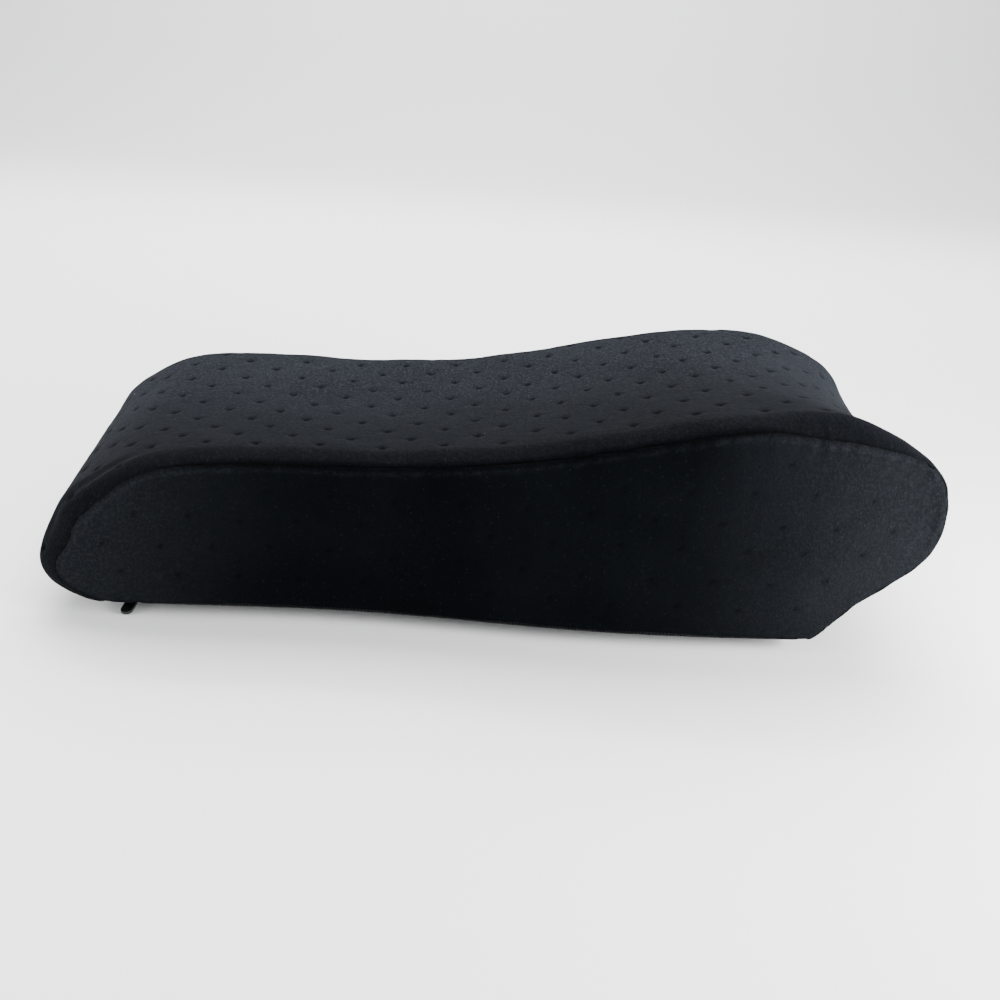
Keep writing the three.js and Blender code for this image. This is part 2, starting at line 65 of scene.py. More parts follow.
EDGE_DROP_LOW_UNDER = 2.2   # extra rise under the low end
DROP_REACH = 12.0           # how far along the outline the fall is evened out
HOLLOW = 3.2                # depth of the resting hollow along the top
HOLLOW_HIGH_END = 3.0       # extra depth at the high end
SKEW_LOW = 9.0              # how far the low end is pulled askew by the sewing
SKEW_HIGH = 3.0             # how far the high end is pulled askew
ZIP_X = -94.0
ZIP_HALF_SLOT = 3.6
UNDERSIDE_SEAM_X = 85.0     # where the wrap meets the underside at the high end
SEAM_OVERLAP = 0.1
FOAM_DEPTH = 2.0
ZIP_RELIEF = 2.4
STRAP_ENDS = ("low_end", "high_end")
WEB_THICKNESS = 0.95
DENT_PITCH = 16.2
SIM_FRAMES = 20
SIM_PRESSURE = 3.0
SWELL_ROUNDS = 12
MOST_SWELL_WRAP = 0.6       # the furthest that the simulation may move the wrap
MOST_SWELL_SIDE = 0.35      # the furthest that it may move a side panel
WELD_METRES = 1e-7
TOUCHING = 1e-6
FAR_AWAY = 1e3

# Where along X, or up Z, each of these sets in, in millimetres.
CREST_RISE = (62, 84)
CREST_FALL = (86, 116)
END_TURN = (100, 114)
LOW_FOOT = (100, 113)
LOW_FACE = (-2, 13)
HOLLOW_FADE_LOW = (88, 110)
HOLLOW_RISE_HIGH = (60, 120)
SKEW_REACH_LOW = (45, 105)
SKEW_REACH_HIGH = (60, 110)
SKEW_RISE = (0, 25)
SEAM_FADE = (62, 88)

SIDE_VIEW = [
    (-60, 0), (-99.5, 0), (-113.8, 4.9), (-120.3, 12.8), (-119.4, 24.5), (-108, 35),
    (-93, 42), (-23, 46), (6, 50), (61, 62), (91, 63.6), (117.4, 48.8), (118.9, 29),
    (98.6, 10.2), (87.6, 0), (80, 0), (45, 0),
]


def smooth(low, high, value):
    """0 below low, 1 above high and an even rise between them."""
    t = np.clip((value - low) / (high - low), 0, 1)
    return t * t * (3 - 2 * t)


def half_width(x):
    """The pad's half width, with the slight waist along its sides."""
    return HALF_WIDTH + WIDTH_WAVE * np.sin(2 * np.pi * x / WAVE_LENGTH)


def side_curve(per_span=80):
    """The pad's side view as a fine line, from the low end's underside over the top."""
    points = [np.array(p, float) for p in SIDE_VIEW]
    line = []
    for i in range(1, len(points) - 2):
        p0, p1, p2, p3 = points[i - 1:i + 3]
        t1 = np.linalg.norm(p1 - p0) ** 0.5
        t2 = t1 + np.linalg.norm(p2 - p1) ** 0.5
        t3 = t2 + np.linalg.norm(p3 - p2) ** 0.5
        for k in range(per_span):
            t = t1 + (t2 - t1) * k / per_span
            a1 = (p0 * (t1 - t) + p1 * t) / t1
            a2 = (p1 * (t2 - t) + p2 * (t - t1)) / (t2 - t1)
            a3 = (p2 * (t3 - t) + p3 * (t - t2)) / (t3 - t2)
            b1 = (a1 * (t2 - t) + a2 * t) / t2
            b2 = (a2 * (t3 - t) + a3 * (t - t1)) / (t3 - t1)
            line.append((b1 * (t2 - t) + b2 * (t - t1)) / (t2 - t1))
    line.append(points[-2])
    line = np.array(line)
    line[:, 1] = np.maximum(line[:, 1], 0)
    return line


def spread(line, step, closed=False):
    """Points spaced evenly along a line, with the outward direction and the distance."""
    if closed:
        line = np.vstack([line, line[:1]])
    gaps = np.linalg.norm(np.diff(line, axis=0), axis=1)
    keep = np.concatenate([[True], gaps > TOUCHING])
    line = line[keep]
    along = np.concatenate([[0], np.cumsum(np.linalg.norm(np.diff(line, axis=0), axis=1))])
    count = max(2, int(round(along[-1] / step)))
    at = np.linspace(0, along[-1], count + 1)
    if closed:
        at = at[:-1]
    x = np.interp(at, along, line[:, 0])
    z = np.interp(at, along, line[:, 1])
    if closed:
        ahead = np.stack([np.roll(x, -1) - np.roll(x, 1), np.roll(z, -1) - np.roll(z, 1)], -1)
    else:
        ahead = np.stack([np.gradient(x), np.gradient(z)], -1)
    ahead /= np.linalg.norm(ahead, axis=1)[:, None]
    return {"x": x, "z": z, "ox": -ahead[:, 1], "oz": ahead[:, 0], "s": at}


def edge_width(st):
    """Width of the rolled edge, measured across the pad."""
    under = np.maximum(-st["oz"], 0)
    return EDGE_WIDTH_UNDER * under + EDGE_WIDTH * (1 - under)


def edge_drop(st):
    """How far the seam lies inside the side view, evened out along the outline."""
    level = np.abs(st["oz"])
    crest = smooth(*CREST_RISE, st["x"]) * (1 - smooth(*CREST_FALL, st["x"]))
    top = (EDGE_DROP + EDGE_DROP_CREST * crest
           + EDGE_DROP_LOW_TURN * smooth(*END_TURN, -st["x"])
           - EDGE_LIFT_HIGH_TURN * smooth(*END_TURN, st["x"]))
    under = EDGE_DROP_UNDER + EDGE_DROP_LOW_UNDER * smooth(*LOW_FOOT, -st["x"])
    flat = np.where(st["oz"] > 0, top, under)
    low_end = EDGE_DROP_LOW_FOOT + EDGE_DROP_LOW_FACE * smooth(*LOW_FACE, st["z"])
    end = np.where(st["ox"] < 0, low_end, EDGE_DROP_HIGH_END)
    drop = flat * level + end * (1 - level)
    reach = int(math.ceil(DROP_REACH / (st["s"][1] - st["s"][0])))
    weight = np.exp(-(np.linspace(-DROP_REACH, DROP_REACH, 2 * reach + 1) / 4.5) ** 2)
    return np.convolve(np.pad(drop, reach, mode="edge"), weight / weight.sum(), "valid")


def hollow_depth(st):
    """Depth of the resting hollow along the middle of the top."""
    low = HOLLOW * (1 - smooth(*HOLLOW_FADE_LOW, -st["x"]))
    depth = low + HOLLOW_HIGH_END * smooth(*HOLLOW_RISE_HIGH, st["x"])
    return depth * smooth(-0.2, 0.6, st["oz"])


def place(x, y, z):
    """A point of the straight pad, moved into the frame with its ends skewed."""
    low = SKEW_LOW * smooth(*SKEW_REACH_LOW, -x)
    high = SKEW_HIGH * smooth(*SKEW_REACH_HIGH, x)
    shift = (high - low) * smooth(*SKEW_RISE, z) * y / HALF_WIDTH
    return np.stack([x + shift + SHIFT_X, y + 0 * x, z + BASE_Z], -1)


def column(st, key):
    """One measure of the stations, to spread over the steps across."""
    return st[key][:, None]


def skin(st, side, turn, flat, depth=0.0):
    """Grid of points on the pad's skin: stations by steps across the pad."""
    half = half_width(column(st, "x"))
    width = edge_width(st)[:, None]
    level = np.cos(turn)[None]
    fall = np.sin(turn)[None] ** 2
    y = side[None] * ((half - width) * flat[None] + width * np.sin(turn)[None])
    hollow = hollow_depth(st)[:, None] * (1 - (y / half) ** 2)
    inward = edge_drop(st)[:, None] * fall + hollow + depth * level
    x = column(st, "x") - column(st, "ox") * inward
    z = column(st, "z") - column(st, "oz") * inward
    return place(x, y - side[None] * np.sin(turn)[None] * depth, z)


def across(edge_count, flat_count):
    """Steps across the pad: side, turn round the rolled edge and fraction of the flat."""
    edge = np.linspace(1, 0, edge_count, endpoint=False) * np.pi / 2
    flat = np.linspace(-1, 1, flat_count + 1)
    side = np.concatenate([-np.ones(edge_count), np.ones(flat_count + 1 + edge_count)])
    turn = np.concatenate([edge, np.zeros(flat_count + 1), edge[::-1]])
    fraction = np.concatenate([np.ones(edge_count), flat, np.ones(edge_count)])
    return side, turn, fraction


def grid_normals(p):
    """The unit normal at every point of a grid."""
    du = np.gradient(p, axis=0)
    dv = np.gradient(p, axis=1)
    n = np.cross(du, dv)
    n /= np.maximum(np.linalg.norm(n, axis=-1), 1e-9)[..., None]
    return n


def arc_lengths(p, axis):
    """Distance along the grid lines of one axis, from their first point."""
    d = np.linalg.norm(np.diff(p, axis=axis), axis=-1)
    s = np.cumsum(d, axis=axis)
    zero = np.zeros_like(np.take(s, [0], axis=axis))
    return np.concatenate([zero, s], axis=axis)


def ripple(u, v, scale, seed, terms=9):
    """Smooth irregular waves between about -1 and 1, the same on every run."""
    rng = np.random.default_rng(seed)
    total = np.zeros(np.broadcast(u, v).shape)
    for _ in range(terms):
        angle = rng.uniform(0, 2 * np.pi)
        wave = 2 * np.pi / (scale * rng.uniform(0.7, 1.6))
        phase = rng.uniform(0, 2 * np.pi)
        total += np.sin(wave * (u * np.cos(angle) + v * np.sin(angle)) + phase)
    return total / math.sqrt(terms)


def hash_unit(a, b, salt):
    """A number from 0 to 1 that looks random, the same for the same cell on every run."""
    value = np.sin(a * 127.1 + b * 311.7 + salt * 74.7) * 43758.5453
    return value - np.floor(value)


def dents(u, v, salt=0.0):
    """Distance to the nearest dent of the staggered pattern, in the cloth's own flat."""
    best = np.full(np.broadcast(u, v).shape, FAR_AWAY)
    half = DENT_PITCH / 2
    for du, dv in ((0.0, 0.0), (half, half)):
        i = np.round((u - du) / DENT_PITCH)
        j = np.round((v - dv) / DENT_PITCH)
        ju = (hash_unit(i, j, 1 + du + salt) - 0.5) * 1.6
        jv = (hash_unit(i, j, 2 + du + salt) - 0.5) * 1.6
        r = np.hypot(u - du - i * DENT_PITCH - ju, (v - dv - j * DENT_PITCH - jv) * 1.15)
        best = np.minimum(best, r)
    return best


def grid_object(name, points, shades=None, closed_u=False):
    """A mesh of quads over a grid of points in millimetres."""
    nu, nv = points.shape[:2]
    index = np.arange(nu * nv).reshape(nu, nv)
    after = np.roll(index, -1, 0) if closed_u else index[1:]
    here = index if closed_u else index[:-1]
    faces = np.stack([here[:, :-1], after[:, :-1], after[:, 1:], here[:, 1:]], -1).reshape(-1, 4)
    mesh = bpy.data.meshes.new(name)
    mesh.from_pydata((points.reshape(-1, 3) * MM).tolist(), [], faces.tolist())
    mesh.shade_smooth()
    for key, values in (shades or {}).items():
        attribute = mesh.attributes.new(key, "FLOAT", "POINT")
        attribute.data.foreach_set("value", values.astype(np.float32).ravel())
    obj = bpy.data.objects.new(name, mesh)
    bpy.context.scene.collection.objects.link(obj)
    return obj


def close_ends(obj, weld=False, triangles=False):
    """Fills the open ends of a tube and turns every face outwards."""
    mesh = bmesh.new()
    mesh.from_mesh(obj.data)
    if weld:
        bmesh.ops.remove_doubles(mesh, verts=mesh.verts, dist=WELD_METRES)
    rims = [e for e in mesh.edges if e.is_boundary]
    ends = bmesh.ops.holes_fill(mesh, edges=rims, sides=0)
    if triangles:
        bmesh.ops.triangulate(mesh, faces=ends["faces"])
    bmesh.ops.recalc_face_normals(mesh, faces=mesh.faces)
    mesh.to_mesh(obj.data)
    mesh.free()
    return obj


def thicken(obj, thickness):
    """Gives a sheet its thickness, inwards."""
    modifier = obj.modifiers.new("thickness", "SOLIDIFY")
    modifier.thickness = thickness * MM
    modifier.offset = -1
    modifier.use_even_offset = False
    return obj


def drape(name, points, pressure):
    """Cloth simulation of a panel sewn down all round: how far each grid point moves."""
    pins = np.zeros(points.shape[:2], bool)
    pins[[0, -1]] = True
    pins[:, [0, -1]] = True
    obj = grid_object(name, points)
    group = obj.vertex_groups.new(name="sewn")
    group.add([int(i) for i in np.nonzero(pins.ravel())[0]], 1.0, "REPLACE")
    cloth = obj.modifiers.new("cloth", "CLOTH")
    settings = cloth.settings
    settings.quality = 5
    settings.mass = 0.25
    settings.tension_stiffness = 30
    settings.compression_stiffness = 30
    settings.shear_stiffness = 10
    settings.bending_stiffness = 3
    settings.use_pressure = True
    settings.uniform_pressure_force = pressure
    settings.vertex_group_mass = "sewn"
    settings.effector_weights.gravity = 0
    cloth.collision_settings.use_collision = False
    cloth.point_cache.frame_start = 1
    cloth.point_cache.frame_end = SIM_FRAMES
    scene = bpy.context.scene
    for number in range(1, SIM_FRAMES + 1):
        scene.frame_set(number)
    moved = obj.evaluated_get(bpy.context.evaluated_depsgraph_get()).to_mesh()
    out = np.empty(len(moved.vertices) * 3)
    moved.vertices.foreach_get("co", out)
    scene.frame_set(1)
    mesh = obj.data
    bpy.data.objects.remove(obj)
    bpy.data.meshes.remove(mesh)
    return out.reshape(points.shape) / MM - points


def resample(field, nu, nv):
    """A coarse grid field at the points of a finer grid over the same sheet."""
    u = np.linspace(0, field.shape[0] - 1, nu)
    v = np.linspace(0, field.shape[1] - 1, nv)
    i = np.minimum(u.astype(int), field.shape[0] - 2)
    j = np.minimum(v.astype(int), field.shape[1] - 2)
    fu = smooth(0, 1, u - i)[:, None, None]
    fv = smooth(0, 1, v - j)[None, :, None]
    a = field[i][:, j] * (1 - fv) + field[i][:, j + 1] * fv
    b = field[i + 1][:, j] * (1 - fv) + field[i + 1][:, j + 1] * fv
    return a * (1 - fu) + b * fu


def swell(field, points, most):
    """How far a simulated panel swells along its normal, evened out and held to a limit."""
    out = grid_normals(points)
    lift = (field * out).sum(-1)
    for _ in range(SWELL_ROUNDS):
        padded = np.pad(lift, 1, mode="edge")
        lift = (padded[:-2, 1:-1] + padded[2:, 1:-1] + padded[1:-1, :-2] + padded[1:-1, 2:]
                + 4 * lift) / 8
    return np.clip(lift, -most, most)


# ---------------------------------------------------------------- materials

class Nodes:
    """Short helpers for building a material's node tree."""

    def __init__(self, name):
        self.material = bpy.data.materials.new(name)
        self.material.use_nodes = True
        self.tree = self.material.node_tree
        self.bsdf = self.tree.nodes["Principled BSDF"]

    def add(self, kind, **values):
        node = self.tree.nodes.new(kind)
        for key, value in values.items():
            if hasattr(node, key):
                setattr(node, key, value)
            else:
                node.inputs[key.replace("_", " ")].default_value = value
        return node

    def link(self, source, target):
        self.tree.links.new(source, target)

    def math(self, operation, a, b=None):
        node = self.add("ShaderNodeMath", operation=operation)
        for slot, value in ((0, a), (1, b)):
            if value is None:
                continue
            if isinstance(value, (int, float)):
                node.inputs[slot].default_value = value
            else:
                self.link(value, node.inputs[slot])
        return node.outputs[0]

    def mix(self, factor, a, b):
        node = self.add("ShaderNodeMix", data_type="RGBA")
        for slot, value in ((0, factor), (6, a), (7, b)):
            if isinstance(value, (int, float)):
                node.inputs[slot].default_value = value
            elif isinstance(value, tuple):
                node.inputs[slot].default_value = value + (1,)
            else:
                self.link(value, node.inputs[slot])
        return node.outputs[2]

    def position(self):
        return self.add("ShaderNodeTexCoord").outputs["Object"]

    def noise(self, vector, scale, detail=3.0, rough=0.55):
        node = self.add("ShaderNodeTexNoise")
        node.inputs["Scale"].default_value = scale
        node.inputs["Detail"].default_value = detail
        node.inputs["Roughness"].default_value = rough
        self.link(vector, node.inputs["Vector"])
        return node.outputs["Fac"]

    def cells(self, vector, scale):
        """Cells scattered in space: distance from a cell's point, and its own chance."""
        node = self.add("ShaderNodeTexVoronoi", feature="F1")
        node.inputs["Scale"].default_value = scale
        self.link(vector, node.inputs["Vector"])
        split = self.add("ShaderNodeSeparateColor")
        self.link(node.outputs["Color"], split.inputs["Color"])
        return node.outputs["Distance"], split.outputs[0]

    def ramp(self, value, low, high, a=0.0, b=1.0):
        node = self.add("ShaderNodeMapRange", interpolation_type="SMOOTHSTEP")
        self.link(value, node.inputs["Value"])
        node.inputs["From Min"].default_value = low
        node.inputs["From Max"].default_value = high
        node.inputs["To Min"].default_value = a
        node.inputs["To Max"].default_value = b
        return node.outputs["Result"]

    def stretched(self, vector, scale):
        node = self.add("ShaderNodeMapping")
        node.inputs["Scale"].default_value = scale
        self.link(vector, node.inputs["Vector"])
        return node.outputs["Vector"]

    def attribute(self, name):
        return self.add("ShaderNodeAttribute", attribute_name=name).outputs["Fac"]

    def bump(self, height, distance, strength):
        node = self.add("ShaderNodeBump")
        node.inputs["Strength"].default_value = strength
        node.inputs["Distance"].default_value = distance
        self.link(height, node.inputs["Height"])
        return node.outputs["Normal"]

    def finish(self, colour, normal=None, roughness=0.9, **constants):
        self.link(colour, self.bsdf.inputs["Base Color"])
        if normal is not None:
            self.link(normal, self.bsdf.inputs["Normal"])
        if isinstance(roughness, (int, float)):
            self.bsdf.inputs["Roughness"].default_value = roughness
        else:
            self.link(roughness, self.bsdf.inputs["Roughness"])
        for key, value in constants.items():
            self.bsdf.inputs[key.replace("_", " ")].default_value = value
        return self.material


def velvet_material(name, panel):
    """Short velvet. Painted shade darkens the wrap towards the near edge and a panel away from
    its ends.
    """
    n = Nodes(name)
    at = n.position()
    nap = n.noise(at, 26.0, 3.0)
    tufts = n.stretched(at, (1.0, 0.6, 1.0))
    pile = n.noise(tufts, 1300.0, 3.0, 0.8)
    clump = n.noise(tufts, 480.0, 2.0, 0.6)
    # Pile tips lightened in colour: partly pile grain, partly painted glints.
    tip_distance, tip_chance = n.cells(tufts, 1150.0)
    tips_and_glints = n.math("MULTIPLY", n.ramp(tip_chance, 0.78, 0.99), n.ramp(tip_distance, 0.45, 0.12))
    axes = n.add("ShaderNodeSeparateXYZ")
    n.link(at, axes.inputs[0])
    reach = n.math("ABSOLUTE", axes.outputs["X"])
    streaks = n.ramp(nap, 0.35, 0.68)
    if panel:
        colour = n.mix(streaks, (0.0068, 0.0078, 0.0094), (0.0090, 0.0102, 0.0122))
        colour = n.mix(n.ramp(pile, 0.44, 0.66, 0.0, 0.8), colour, (0.0150, 0.0168, 0.0200))
        # Painted shade: a panel's colour is darker along its middle and lighter towards its
        # ends.
        painted_shade_middle = n.mix(streaks, (0.0009, 0.0013, 0.0017), (0.0017, 0.0022, 0.0029))
        colour = n.mix(n.ramp(reach, 0.046, 0.116, 0.0, 0.9), painted_shade_middle, colour)
    else:
        colour = n.mix(streaks, (0.0060, 0.0070, 0.0088), (0.0088, 0.0101, 0.0126))
        colour = n.mix(n.ramp(pile, 0.41, 0.69, 0.0, 0.85), colour, (0.0212, 0.0242, 0.0294))
        # Painted shade: the top's colour darkens towards the near edge, standing in for the
        # light falling off there.
        near = n.ramp(axes.outputs["Y"], -0.052, 0.040, 0.80, 0.0)
        # Painted shade: the colour darkens along the rolled edges.
        roll = n.math("MULTIPLY", n.attribute("roll"), 0.88)
        shade = n.math("MAXIMUM", near, roll)
        colour = n.mix(shade, colour, (0.0009, 0.0012, 0.0016))
        # The painted glints fade where the shade is painted.
        tips_and_glints = n.math("MULTIPLY", tips_and_glints, n.math("SUBTRACT", 1.0, shade))
    colour = n.mix(n.math("MULTIPLY", tips_and_glints, 0.08 if panel else 0.5), colour,
                   (0.038, 0.0425, 0.050))
    if panel:
        # Painted highlight: the ridge beside the seam is lighter, more so towards the ends.
        ridge = n.math("MULTIPLY", n.attribute("ridge"), n.ramp(pile, 0.38, 0.62, 0.15, 1.0))
        ridge = n.math("MULTIPLY", ridge, n.ramp(reach, 0.030, 0.110, 0.35, 0.9))
        colour = n.mix(ridge, colour, (0.0120, 0.0138, 0.0165))
    # Painted shade: the colour goes near black in the dents and the seam grooves.
    dimple_shade = n.ramp(n.attribute("dent"), 0.0, 0.8, 0.0, 0.75 if panel else 0.97)
    recess_shade = n.math("MAXIMUM", dimple_shade, n.math("MULTIPLY", n.attribute("groove"), 0.92))
    colour = n.mix(recess_shade, colour, (0.0004, 0.0005, 0.0006))
    speck_distance, speck_chance = n.cells(at, 240.0)
    lint = n.math("MULTIPLY", n.math("LESS_THAN", speck_distance, 0.05),
                  n.math("GREATER_THAN", speck_chance, 0.998 if panel else 0.982))
    colour = n.mix(lint, colour, (0.36, 0.38, 0.40))
    height = n.math("ADD", n.math("MULTIPLY", pile, 0.8), n.math("MULTIPLY", clump, 0.4))
    height = n.math("ADD", height, n.math("MULTIPLY", tips_and_glints, 0.3))
    normal = n.bump(height, 0.0005, 0.7)
    return n.finish(colour, normal, 0.92, Specular_IOR_Level=0.02, Sheen_Roughness=0.45,
                    Sheen_Weight=0.004 if panel else 0.012,
                    Sheen_Tint=(0.69, 0.77, 1.0, 1.0))


def cloth_material(name, dark, light, pitch, rib=False, sheen=0.10, gloss=0.15):
    """A plain weave, or webbing with ribs along its length, in the piece's own frame."""
    n = Nodes(name)
    at = n.position()
    warp = n.add("ShaderNodeTexWave", wave_type="BANDS", bands_direction="X")
    weft = n.add("ShaderNodeTexWave", wave_type="BANDS", bands_direction="Y")
    for node, scale in ((warp, pitch), (weft, pitch * (0.45 if rib else 1.0))):
        node.inputs["Scale"].default_value = scale
        node.inputs["Distortion"].default_value = 0.6
        node.inputs["Detail"].default_value = 2.0
        node.inputs["Detail Scale"].default_value = 2.0
        n.link(at, node.inputs["Vector"])
    woven = n.math("MULTIPLY", warp.outputs["Fac"], weft.outputs["Fac"])
    fibre = n.noise(at, 2600.0, 3.0, 0.7)
    wear = n.noise(at, 60.0, 4.0)
    colour = n.mix(n.ramp(woven, 0.1, 0.8), dark, light)
    colour = n.mix(n.ramp(fibre, 0.55, 0.8, 0.0, 0.4), colour, tuple(c * 2.2 for c in light))
    colour = n.mix(n.ramp(wear, 0.45, 0.7, 0.0, 0.3), colour, dark)
    height = n.math("ADD", woven, n.math("MULTIPLY", fibre, 0.35))
    return n.finish(colour, n.bump(height, 0.0003, 0.7), 0.85, Specular_IOR_Level=gloss,
                    Sheen_Weight=sheen, Sheen_Roughness=0.5)


def foam_material():
    """Open-celled yellow foam."""
    n = Nodes("foam")
    at = n.position()
    wall = n.cells(at, 1100.0)[0]
    tone = n.noise(at, 25.0, 3.0)
    colour = n.mix(n.ramp(wall, 0.1, 0.6), (0.45, 0.38, 0.20), (0.72, 0.64, 0.40))
    colour = n.mix(n.ramp(tone, 0.4, 0.7, 0.0, 0.4), colour, (0.62, 0.50, 0.26))
    return n.finish(colour, n.bump(wall, 0.0004, 0.6), 0.95, Subsurface_Weight=0.1)


def metal_material():
    """Dark lacquered zip metal, a little worn."""
    n = Nodes("zip_metal")
    at = n.position()
    grain = n.noise(at, 900.0, 4.0, 0.65)
    wear = n.noise(at, 240.0, 4.0, 0.6)
    colour = n.mix(n.ramp(wear, 0.58, 0.74), (0.030, 0.032, 0.036), (0.16, 0.15, 0.14))
    rough = n.ramp(grain, 0.3, 0.7, 0.30, 0.46)
    return n.finish(colour, n.bump(grain, 0.00004, 0.4), rough, Metallic=0.85, Coat_Weight=0.3,
                    Coat_Roughness=0.2)


def nylon_material():
    """Black nylon of the zip's coils."""
    n = Nodes("zip_coil")
    at = n.position()
    grain = n.noise(at, 1200.0, 3.0, 0.6)
    colour = n.mix(n.ramp(grain, 0.4, 0.7), (0.006, 0.006, 0.008), (0.014, 0.014, 0.017))
    return n.finish(colour, n.bump(grain, 0.00003, 0.5), n.ramp(grain, 0.3, 0.7, 0.32, 0.5),
                    Specular_IOR_Level=0.5)


def patch_material(name, colour_low, colour_high, scale, depth):
    """The pile of a hook or loop patch."""
    n = Nodes(name)
    at = n.position()
    cell = n.add("ShaderNodeTexVoronoi", feature="SMOOTH_F1")
    cell.inputs["Scale"].default_value = scale
    cell.inputs["Smoothness"].default_value = 0.4
    n.link(at, cell.inputs["Vector"])
    fuzz = n.noise(at, 2400.0, 3.0, 0.7)
    height = n.math("ADD", cell.outputs["Distance"], n.math("MULTIPLY", fuzz, 0.5))
    colour = n.mix(n.ramp(height, 0.2, 0.9), colour_low, colour_high)
    return n.finish(colour, n.bump(height, depth, 0.8), 0.8, Sheen_Weight=0.3)


def label_material():
    """White woven tape, slightly soiled."""
    n = Nodes("label")
    at = n.position()
    weave = n.noise(n.stretched(at, (3200.0, 900.0, 900.0)), 1.0, 2.0)
    soil = n.noise(at, 120.0, 4.0)
    colour = n.mix(n.ramp(weave, 0.35, 0.7), (0.55, 0.54, 0.50), (0.66, 0.65, 0.61))
    colour = n.mix(n.ramp(soil, 0.5, 0.75, 0.0, 0.35), colour, (0.44, 0.42, 0.38))
    return n.finish(colour, n.bump(weave, 0.00008, 0.6), n.ramp(weave, 0.3, 0.7, 0.42, 0.6))


def thread_material():
    """Twisted black sewing thread."""
    n = Nodes("thread")
    at = n.position()
    twist = n.noise(n.stretched(at, (2500.0, 2500.0, 900.0)), 1.0, 2.0)
    colour = n.mix(n.ramp(twist, 0.35, 0.7), (0.010, 0.010, 0.012), (0.035, 0.036, 0.040))
    return n.finish(colour, n.bump(twist, 0.00006, 0.7), 0.7, Sheen_Weight=0.2)


velvet = velvet_material("velvet", False)
velvet_panel = velvet_material("velvet_panel", True)
underside_cloth = cloth_material("underside_cloth", (0.0018, 0.0021, 0.0026),
                                 (0.0060, 0.0067, 0.0080), 340.0, sheen=0.01, gloss=0.06)
webbing = cloth_material("webbing", (0.005, 0.005, 0.006), (0.016, 0.016, 0.019), 520.0,
                         rib=True)
tape_cloth = cloth_material("zip_tape", (0.004, 0.004, 0.005), (0.013, 0.013, 0.015), 700.0)
foam = foam_material()
zip_metal = metal_material()
zip_nylon = nylon_material()
hook_tape = patch_material("hook_tape", (0.004, 0.004, 0.005), (0.018, 0.018, 0.020),
                           900.0, 0.0005)
loop_tape = patch_material("loop_tape", (0.008, 0.008, 0.009), (0.040, 0.040, 0.044),
                           620.0, 0.0007)
label = label_material()
thread = thread_material()


def dress(obj, material, body, slot, *nodes):
    """Gives a piece its finish and its body, and hides the CAD nodes that it stands for."""
    obj.data.materials.clear()
    obj.data.materials.append(material)
    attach(obj, body)
    if nodes:
        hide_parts(*nodes)
    return obj


# ---------------------------------------------------------------- camera

CAMERA_AZIMUTH = math.radians(-1.6)
CAMERA_ELEVATION = math.radians(20.7)
CAMERA_ROLL = math.radians(4.35)
CAMERA_DISTANCE = 275.4
CAMERA_LENS = 32.4
CAMERA_SENSOR = 36
CAMERA_SHIFT = (0.010, -0.0414)
CLIP_START = 0.01
AIM_HEIGHT = 28.0
AIM = np.array([SHIFT_X, 0.0, BASE_Z + AIM_HEIGHT])

back = np.array([math.sin(CAMERA_AZIMUTH) * math.cos(CAMERA_ELEVATION),
                 -math.cos(CAMERA_AZIMUTH) * math.cos(CAMERA_ELEVATION),
                 math.sin(CAMERA_ELEVATION)])
right = np.cross(-back, [0.0, 0.0, 1.0])
right /= np.linalg.norm(right)
up = np.cross(back, right)
rolled_right = right * math.cos(CAMERA_ROLL) + up * math.sin(CAMERA_ROLL)
rolled_up = up * math.cos(CAMERA_ROLL) - right * math.sin(CAMERA_ROLL)
spot = (AIM + back * CAMERA_DISTANCE) * MM

camera_data = bpy.data.cameras.new("camera")
camera_data.lens = CAMERA_LENS
camera_data.sensor_width = CAMERA_SENSOR
camera_data.shift_x, camera_data.shift_y = CAMERA_SHIFT
camera_data.clip_start = CLIP_START
camera = bpy.data.objects.new("camera", camera_data)
bpy.context.scene.collection.objects.link(camera)
camera.matrix_world = Matrix((
    (rolled_right[0], rolled_up[0], back[0], spot[0]),
    (rolled_right[1], rolled_up[1], back[1], spot[1]),
    (rolled_right[2], rolled_up[2], back[2], spot[2]),
    (0, 0, 0, 1),
))
bpy.context.scene.camera = camera

# ---------------------------------------------------------------- velvet cover

outline = side_curve()
first_x = ZIP_X - ZIP_HALF_SLOT
wrap_line = np.vstack([[first_x, 0], outline, [UNDERSIDE_SEAM_X, 0]])
wrap_line = wrap_line[np.concatenate([[True], np.diff(wrap_line[:, 0]) != 0])]
wrap_line = wrap_line[(wrap_line[:, 1] > 0) | (wrap_line[:, 0] <= first_x + TOUCHING)
                      | (wrap_line[:, 0] >= UNDERSIDE_SEAM_X - TOUCHING)]


def seam_strength(x):
    """The seam's groove is deep along the middle and nearly closed at the ends."""
    return 1 - 0.75 * smooth(*SEAM_FADE, np.abs(x))


def wrap_grid(step, edge_count, flat_count):
    """The wrap's own surface as a grid, coarse or fine."""
    return skin(spread(wrap_line, step), *across(edge_count, flat_count))


